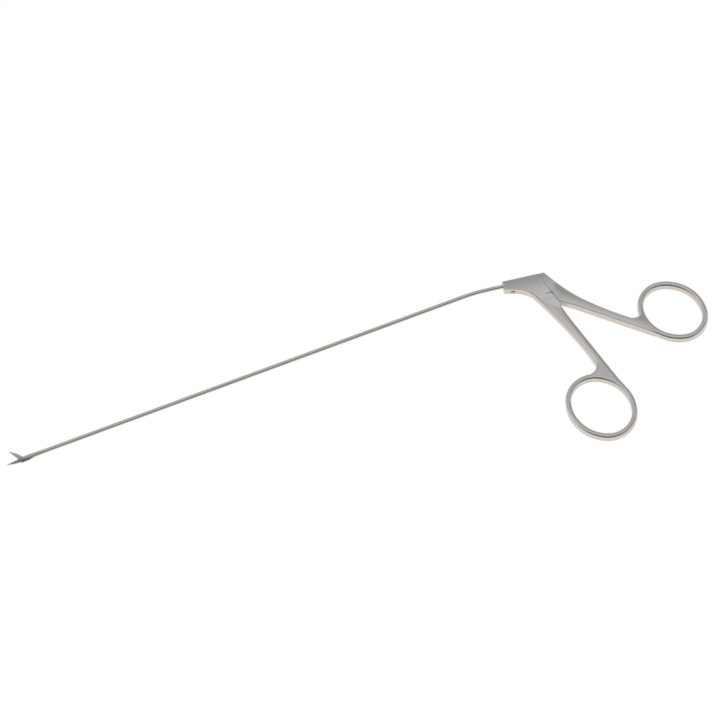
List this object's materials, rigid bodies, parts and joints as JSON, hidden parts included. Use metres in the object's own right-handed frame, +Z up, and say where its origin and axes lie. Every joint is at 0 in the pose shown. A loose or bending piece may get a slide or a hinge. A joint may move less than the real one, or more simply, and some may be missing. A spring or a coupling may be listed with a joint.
{
  "type": "micro scissors",
  "caption": "Slender steel micro scissors: two ring handles squeeze together to pull a rod in a long thin bent tube and close a small scissor tip.",
  "frame": {"origin": "handle pivot axis, on the underside of the flat head", "axes": "+X runs back along the shaft from the tip to the handles, +Y lies in the plane of the handles away from the rings, +Z is up out of the flat side"},
  "size_m": [0.3073, 0.0943, 0.005],
  "materials": {
    "handle_steel": "satin",
    "tube_steel": "satin",
    "blade_steel": "ground",
    "rod_steel": "drawn",
    "screw_steel": "polished"
  },
  "bodies": {
    "frame": {"front_handle": "handle_steel", "shaft_tube": "tube_steel", "jaw_housing": "tube_steel", "jaw_pin": "tube_steel", "tube_screw": "screw_steel", "pivot_screw": "screw_steel"},
    "lever": {"rear_handle": "handle_steel"},
    "rod": {"pull_rod": "rod_steel", "rod_eye": "rod_steel", "rod_foot": "blade_steel", "drive_pin": "rod_steel", "link_pin": "rod_steel"},
    "blade": {"moving_blade": "blade_steel"}
  },
  "joints": [
    {"name": "handle_hinge", "type": "hinge", "parent": "frame", "child": "lever", "pos_m": [0, 0, 0.0022], "axis": [0, 0, 1], "range_deg": [-7, 0]},
    {"name": "rod_slide", "type": "slide", "parent": "frame", "child": "rod", "axis": [1, 0, 0], "range_m": [0, 0.00098]},
    {"name": "blade_hinge", "type": "hinge", "parent": "frame", "child": "blade", "pos_m": [-0.2402, 0.01205, 0.0022], "axis": [0, 0, 1], "range_deg": [0, 61.1]}
  ],
  "couplings": [
    {"joint": "rod_slide", "follows": "handle_hinge", "m_per_rad": -0.0079499},
    {"joint": "blade_hinge", "follows": "handle_hinge", "ratio": -8.7229}
  ]
}
